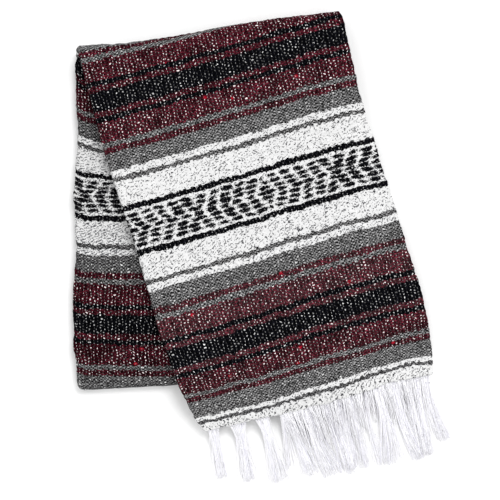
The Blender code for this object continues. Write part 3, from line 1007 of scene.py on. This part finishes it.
BLACK = (0.0023, 0.0023, 0.0036)
RED = (0.044, 0.0055, 0.01)
GREY = (0.092, 0.091, 0.092)
WHITE = (0.645, 0.645, 0.645)
DARK_GREY = (0.072, 0.071, 0.073)
# The speck colour is painted shade in the gaps between threads.
GAP_SHADE = (0.03, 0.03, 0.036, 1.0)
DOT = (0.77, 0.77, 0.765, 1.0)
PINK_DOT = (0.8, 0.72, 0.71, 1.0)
DULL_YARN = (0.82, 0.81, 0.895, 1.0)
PALE_YARN = (0.925, 0.92, 0.95, 1.0)
YARN_FLECK = (*linear(90, 86, 110), 1.0)
SLUB_RED = (*linear(172, 14, 38), 1.0)
LIGHT = (1.0, 1.0, 1.0, 1.0)

# Each band's outer edge from the middle of a black band, its yarn, and its warp dots, grain and specks,
# the specks being painted shade in the gaps between threads
BANDS = (
    (40, BLACK, (0.54, 0.0, 0.0)),
    (62, RED, (0.85, 0.0, 0.0)),
    (84, BLACK, (0.54, 0.0, 0.0)),
    (170, RED, (0.92, 0.0, 0.0)),
    (190, GREY, (0.45, 1.0, 0.0)),
    (216, RED, (0.7, 0.0, 0.0)),
    (288, GREY, (0.4, 1.0, 0.0)),
    (316, WHITE, (0.0, 0.0, 0.42)),
    (336, GREY, (0.2, 1.0, 0.0)),
    (438, WHITE, (0.0, 0.0, 0.37)),
    (461, BLACK, (0.3, 0.0, 0.0)),
    (545, WHITE, (0.0, 0.0, 0.4)),
)
HEM_FROM = 262.0
HEM_START = 240
HEM_END = 480
HEM_BANDS = (
    (294, GREY, (0.4, 1.0, 0.0)),
    (312, WHITE, (0.0, 0.0, 0.35)),
    (326, DARK_GREY, (0.1, 0.8, 0.0)),
    (480, WHITE, (0.0, 0.0, 0.4)),
)


def band_stops(bands, start, end, pick):
    """Ramp stops for one column of a table of bands."""
    edges = [start] + [band[0] for band in bands[:-1]]
    return [((edge - start) / (end - start), band[pick]) for edge, band in zip(edges, bands)]


WARP_PITCH = 4.39
WEFT_PITCH = 1.9
SPECK_CELL = 1.15

# The diamond band: rows of dashes, shifted row by row and mirrored at each crossing
CROSSING = 85.8
HALF_DIAMOND = 88.1
DASH_ROWS = 3.5
DIAMOND_FROM = 461.0
ROW_PITCH = 6.2
ROW_SHIFT = 3.4
DASH_PITCH = 16.6
DASH_HALF = (7.2, 2.75)
DASH_CORNERS = (2.2, 2.0)
DASH_TILT = 0.07
DASH_EDGE = (1.3, 0.85)

# Noises in the cloth's plane
SLOW = (0.03, 0.03, 1.0, 1.0)
QUICK = (0.2, 0.13, 1.0, 2.0)
JOG = (0.25, 0.08, 1.0, 1.0)
SHIVER = (0.42, 0.42, 5.0, 0.0)
WOBBLE = (0.5, 0.75, 1.0, 3.0)
PATCH = (0.09, 0.06, 1.0, 1.0)
GRAIN = (0.75, 0.8, 1.0, 1.0)
SLUB = (0.28, 0.6, 1.0, 2.0)
DYE = (0.035, 0.05, 9.0, 1.0)

# How the tones change down the front run, by stripe level: painted shade dims the dots and reds at the top
# near the turn, painted light lifts the reds with a pale haze lower down, and near the hem the dots and
# reds are darker and the haze weaker
TOP_DOT_SHADE = (-1130.0, -980.0, 0.86, 1.0)
TOP_RED_SHADE = (-1120.0, -1060.0, 0.96, 1.0)
PAINTED_LIGHT_DOWN = (-1120.0, -150.0, 0.0, 0.013)
LOW_BANDS = (30.0, 90.0)
LOW_DOTS = 0.93
LOW_RED_TONE = 0.85
LOW_PAINTED_LIGHT = 0.3
MORE_SPECKS = (-560.0, -430.0, 1.0, 1.22)


class Weave(Graph):
    """Striped plain weave: slubby weft bands, white warp dots, heather greys and the diamond band."""

    def __init__(self):
        super().__init__("serape_weave")
        self.way, self.level, self.sheet = self.cloth_place()
        self.flat = self.level * UNIT
        self.low = self.level.spread(*LOW_BANDS)
        self.on_front = self.sheet < 0.5
        self.on_back = self.sheet.equals(1.0, 0.1)
        self.lay_yarns()
        self.lay_bands()
        self.lay_diamonds()
        self.grain = self.cloud(GRAIN)
        colour = self.dyed_with_painted_light(self.weft_shade())
        # Specks of painted shade in the gaps between threads.
        colour = self.mix(self.specks(), colour, GAP_SHADE)
        colour = self.mix(self.warp_dots(), colour, self.mix(self.reds, DOT, PINK_DOT))
        colour = self.mix(self.red_slubs(), colour, SLUB_RED)
        self.finish(colour, self.grain.ranged(0.2, 0.8, 0.82, 0.98), 0.02)
        self.raise_threads()

    def plane(self, across_size, down_size, sheet_size):
        """Places in the cloth's plane in cells."""
        return self.vector(self.way * across_size, self.flat * down_size, self.sheet * sheet_size)

    def cloud(self, sizes):
        """Smooth noise in the cloth's plane."""
        return self.noise(self.plane(*sizes[:3]), sizes[3])

    def lay_yarns(self):
        """Where the yarns run: slubs make them wander, and each crossing has its own numbers."""
        self.quick = self.cloud(QUICK)
        self.wander = self.cloud(SLOW).swing(18.0) + self.quick.swing(15.0)
        self.moved = self.level + self.wander
        self.down = self.moved * UNIT
        self.over = self.way + self.cloud(JOG).swing(5.0) + self.cloud(SHIVER).swing(2.4)
        self.column = (self.over / WARP_PITCH).floor()
        self.pick = (self.down / WEFT_PITCH).floor()
        self.warp = (self.over * (math.pi / WARP_PITCH)).sine()
        self.weft = (self.down * (math.pi / WEFT_PITCH)).sine()
        self.lobes = self.warp * self.weft
        self.own = self.random(self.column, self.pick, self.sheet)
        self.speckle = self.random((self.over / SPECK_CELL).floor(), (self.down / SPECK_CELL).floor(),
                                   self.sheet)

    def lay_bands(self):
        """Bands change at whole picks, which step a little from end to end."""
        ragged = self.noise(self.vector(self.column * 0.7, self.pick * 0.45, self.sheet), 1.0)
        picked = (self.pick + 0.5) * (WEFT_PITCH / UNIT) + ragged.swing(17.0)
        picked = picked * 0.6 + self.moved * 0.4
        picked = picked + self.warp * self.random(self.column, 3.0, self.sheet) * 2.8
        self.folded = picked.folded(HALF_REPEAT)
        share = self.folded / HALF_REPEAT
        hem_share = (picked - HEM_START) / (HEM_END - HEM_START)
        self.at_hem = (self.level > HEM_FROM) * self.on_front
        self.yarn, kind = (self.mix(self.at_hem, self.ramp(share, band_stops(BANDS, 0, HALF_REPEAT, pick)),
                                    self.ramp(hem_share, band_stops(HEM_BANDS, HEM_START, HEM_END, pick)))
                           for pick in (1, 2))
        self.dotted, self.heather, self.specked = self.split("ShaderNodeSeparateColor", kind)[:3]
        red, green = self.split("ShaderNodeSeparateColor", self.yarn)[:2]
        self.reds = (red - green) > 0.03

    def lay_diamonds(self):
        """Add the dashes of the diamond band, which leave no specks and few warp dots."""
        dashes = self.dashes() * ((self.folded > DIAMOND_FROM) * (1.0 - self.at_hem))
        self.yarn = self.mix(dashes, self.yarn, (*BLACK, 1.0))
        self.dotted = self.dotted + dashes * 0.16
        self.undashed = 1.0 - dashes
        self.pale = (self.specked > 0.1) * self.undashed

    def dashes(self):
        """Mask of the lens-shaped dashes that make up the traditional band of diamonds."""
        wobble = self.cloud(WOBBLE) + self.speckle.swing(0.06)
        height = (HALF_REPEAT - self.moved.folded(HALF_REPEAT)) * UNIT
        way = self.over + self.wander * 0.1 - CROSSING
        repeat = (way / HALF_DIAMOND).floor()
        row = (height / ROW_PITCH).nearest()
        uneven = self.random(row, repeat, 3.0).swing(3.0)
        moved = way.folded(HALF_DIAMOND) - row * ROW_SHIFT + uneven
        number = (moved / DASH_PITCH).nearest()
        size = self.random(number, row, repeat) * 0.62 + 0.62
        offset = self.random(number, row, repeat + 20.0) - 0.5
        tilt = self.random(number, row, repeat + 40.0).swing(0.3) + DASH_TILT
        local = moved - number * DASH_PITCH + offset * 3.0
        up = height - row * ROW_PITCH - local * tilt + offset * 0.9
        wide = (abs(local) / DASH_HALF[0]) ** DASH_CORNERS[0]
        tall = (abs(up) / DASH_HALF[1]) ** DASH_CORNERS[1]
        reach = wide + tall + wobble.swing(3.4)
        return reach.spread(size * DASH_EDGE[0], size * DASH_EDGE[1]) * (row < DASH_ROWS)

    def warp_dots(self):
        """White warp ends that show as dots in the coloured bands."""
        aside = self.random(self.pick, self.column, 9.0).swing(1.7)
        marked = ((self.over + aside) * (math.pi / WARP_PITCH)).sine()
        mark = abs(marked) ** 6.0 * abs(self.weft) ** 0.26
        mark = mark.spread(0.5, 0.95) * (self.lobes > 0.0)
        end = self.noise(self.vector(self.column * 0.83, self.pick * 0.09, self.sheet), 0.0)
        bright = (self.own ** 1.6 * 1.9 + 0.12) * (end.spread(0.3, 0.7) * 0.7 + 0.6)
        bright = bright * self.cloud(PATCH).ranged(0.35, 0.65, 0.6, 1.25)
        # Painted shade dims the dots at the top of the front run, near the turn.
        bright = bright * self.level.spread(*TOP_DOT_SHADE) * self.low.spread(0.0, 1.0, 1.0, LOW_DOTS)
        return (mark * (bright * self.dotted)).at_most(1.0)

    def weft_shade(self):
        """Painted shade in the gaps between the coloured picks, the mixed yarns of the greys, and the even
        whites.
        """
        pick_shade = self.lobes.ranged(0.3, -0.8, 0.3, 1.4) * self.cloud(SLUB).ranged(0.33, 0.67, 0.05, 2.1)
        pick_shade = pick_shade * (self.speckle * 1.5 + 0.25)
        fibre = self.own * 0.25 + self.speckle * 0.75
        fine = (self.over * (2 * math.pi / WARP_PITCH)).sine() * self.weft * (self.speckle * 2.4 + 0.5)
        mixed = (fibre.ranged(0.15, 0.85, 0.2, 1.6) + fine + self.lobes * 0.7).at_least(0.03)
        shade = self.mix(self.heather, self.grey(pick_shade), self.grey(mixed))
        return self.mix(self.pale, shade, self.grey(fibre * 0.24 + 0.88))

    def dyed_with_painted_light(self, shade):
        """The yarns' colours in their shade, uneven in the reds, with painted shade on the top of the
        front run and on the back run, and painted light as a speckled pale haze on the reds down the
        front.
        """
        # The dye varies at random over the reds; painted shade darkens them at the top of the front run,
        # and near the hem they are darker too.
        dye_and_shade = self.cloud(DYE).ranged(0.35, 0.65, 0.68, 1.5) * self.level.spread(*TOP_RED_SHADE)
        dye_and_shade = dye_and_shade * self.low.spread(0.0, 1.0, 1.0, LOW_RED_TONE)
        colour = self.tinted(self.yarn, shade)
        colour = self.tinted(colour, self.mix(self.reds, LIGHT, self.grey(dye_and_shade)))
        # Painted light: a speckled pale haze lifts the front run's reds, more lower down and less near the
        # hem.
        painted_light = self.level.ranged(*PAINTED_LIGHT_DOWN) * self.reds * self.low.spread(0.0, 1.0, 1.0, LOW_PAINTED_LIGHT)
        colour = self.mix(painted_light * self.speckle * self.on_front, colour, LIGHT)
        # Painted shade: the back run, shadowed by the front run, is darkened, its coloured yarns much more
        # than its whites.
        back_run_shade = self.on_back * (0.32 - self.pale * 0.26)
        return self.tinted(colour, self.grey(1.0 - back_run_shade))

    def specks(self):
        """Mask of the small dark specks of painted shade in the gaps between threads, in slanting rows on
        the whites.
        """
        rising = self.vector((self.over + self.down) * 0.42, (self.over - self.down) * 0.1, self.sheet)
        slant = (self.over * 0.88 + self.down * 1.7).sine()
        gate = self.noise(rising, 2.0).ranged(0.38, 0.62, 0.35, 1.55) * (slant * 0.27 + 0.5)
        # The specks are denser on the back run, partly as painted shade for the front run's shadow.
        many = gate * self.specked * (self.on_back * 0.7 + 1.0) * self.level.spread(*MORE_SPECKS)
        return (self.speckle > 1.0 - many) * (self.own * 0.2 + 0.8) * self.undashed

    def red_slubs(self):
        """Mask of the stray bright red slubs."""
        values = {"Vector": self.plane(1 / 74, 1 / 62, 0.0), "Scale": 1.0}
        apart = self.term("ShaderNodeTexVoronoi", values, "Distance", voronoi_dimensions="2D")
        return apart.spread(0.043, 0.015, 0.0, 0.8) * self.reds * self.speckle.spread(0.1, 0.6)

    def raise_threads(self):
        """Bump from the crossings, the slubs and the grain."""
        height = self.lobes * 0.5 + self.quick * 0.9 + self.grain * 0.8
        bump = self.term("ShaderNodeBump", {"Strength": 0.5, "Distance": 0.0006, "Height": height})
        self.feed(self.shader, {"Normal": bump})


def fringe_material():
    """White yarn, each strand of its own tone, with a few dark flecks."""
    graph = Graph("fringe_yarn")
    tone, along, bundle = graph.cloth_place()
    colour = graph.mix(tone.spread(0.0, 0.33), DULL_YARN, PALE_YARN)
    fleck = graph.noise(graph.vector(tone * 90.0, along * 34.0, bundle), 1.0)
    fleck = fleck + along.spread(0.25, 0.0, 0.0, 0.11)
    colour = graph.mix(fleck.spread(0.725, 0.75) * 0.6, colour, YARN_FLECK)
    return graph.finish(colour, 0.8, 0.1)


# ---- the studio

FLOOR_HALF = 4.0
FLOOR_Z = -0.0002
FLOOR_TONE = 0.845
KEY_ENERGY = 1.71
KEY_ANGLE = 30
KEY_TURN = (-31, 21)
PANEL_ENERGY = 0.7
PANEL_SIZE = (0.9, 0.3)
PANEL_PLACE = (0.05, -0.68, 0.4)
PANEL_TURN = (47, 0)


def make_camera():
    """The photograph's camera: straight above, a little to the left of the part's middle."""
    data = bpy.data.cameras.new("camera")
    data.sensor_width = SENSOR
    data.lens = SENSOR * FOCAL / PHOTO_SIZE
    data.clip_start = 0.05
    data.clip_end = 50.0
    camera = linked("camera", data)
    camera.location = (-CENTRE[0] * MM, -CENTRE[1] * MM, CAMERA_HEIGHT * MM)
    bpy.context.scene.camera = camera


def make_floor():
    """A plain white surface."""
    corners = [(x * FLOOR_HALF, y * FLOOR_HALF, FLOOR_Z) for x, y in ((-1, -1), (1, -1), (1, 1), (-1, 1))]
    data = bpy.data.meshes.new("floor")
    data.from_pydata(corners, [], [(0, 1, 2, 3)])
    data.materials.append(Graph("floor_white").finish((*[FLOOR_TONE] * 3, 1.0), 1.0, 0.0))
    floor = linked("floor", data)


def lamp(name, kind, energy, turn):
    """A light with its energy, turned by degrees round x and y."""
    data = bpy.data.lights.new(name, kind)
    data.energy = energy
    made = linked(name, data)
    made.rotation_euler = (math.radians(turn[0]), math.radians(turn[1]), 0.0)
    return made


def make_light():
    """An even white surround, a soft key from the upper right and a low panel before the hem."""
    world = bpy.data.worlds.new("surround")
    world.use_nodes = True
    background = world.node_tree.nodes["Background"]
    background.inputs["Color"].default_value = LIGHT
    background.inputs["Strength"].default_value = 1.0
    bpy.context.scene.world = world
    key = lamp("key", "SUN", KEY_ENERGY, KEY_TURN)
    key.data.angle = math.radians(KEY_ANGLE)
    panel = lamp("panel", "AREA", PANEL_ENERGY, PANEL_TURN)
    panel.data.shape = "RECTANGLE"
    panel.data.size, panel.data.size_y = PANEL_SIZE
    panel.location = PANEL_PLACE
    panel.visible_camera = False
    bpy.context.scene.view_settings.view_transform = "Standard"


def main():
    """Build the scene."""
    make_camera()
    make_floor()
    make_light()
    weave = Weave().material
    yarn = fringe_material()
    front = make_front_cloth(weave)
    back = make_back_cloth(weave)
    inner = make_inner_layers(weave)
    upper = make_fringe("fringe_top", UPPER_BUNDLES, root_z=15.4, tip_z=2.4, seed=5, material=yarn)
    lower = make_fringe("fringe_under", LOWER_BUNDLES, root_z=6.35, tip_z=1.2, seed=6, material=yarn)
    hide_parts("front_panel")
    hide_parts("back_panel")
    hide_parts("hidden_layers")
    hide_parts("fringe_upper")
    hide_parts("fringe_lower")


main()
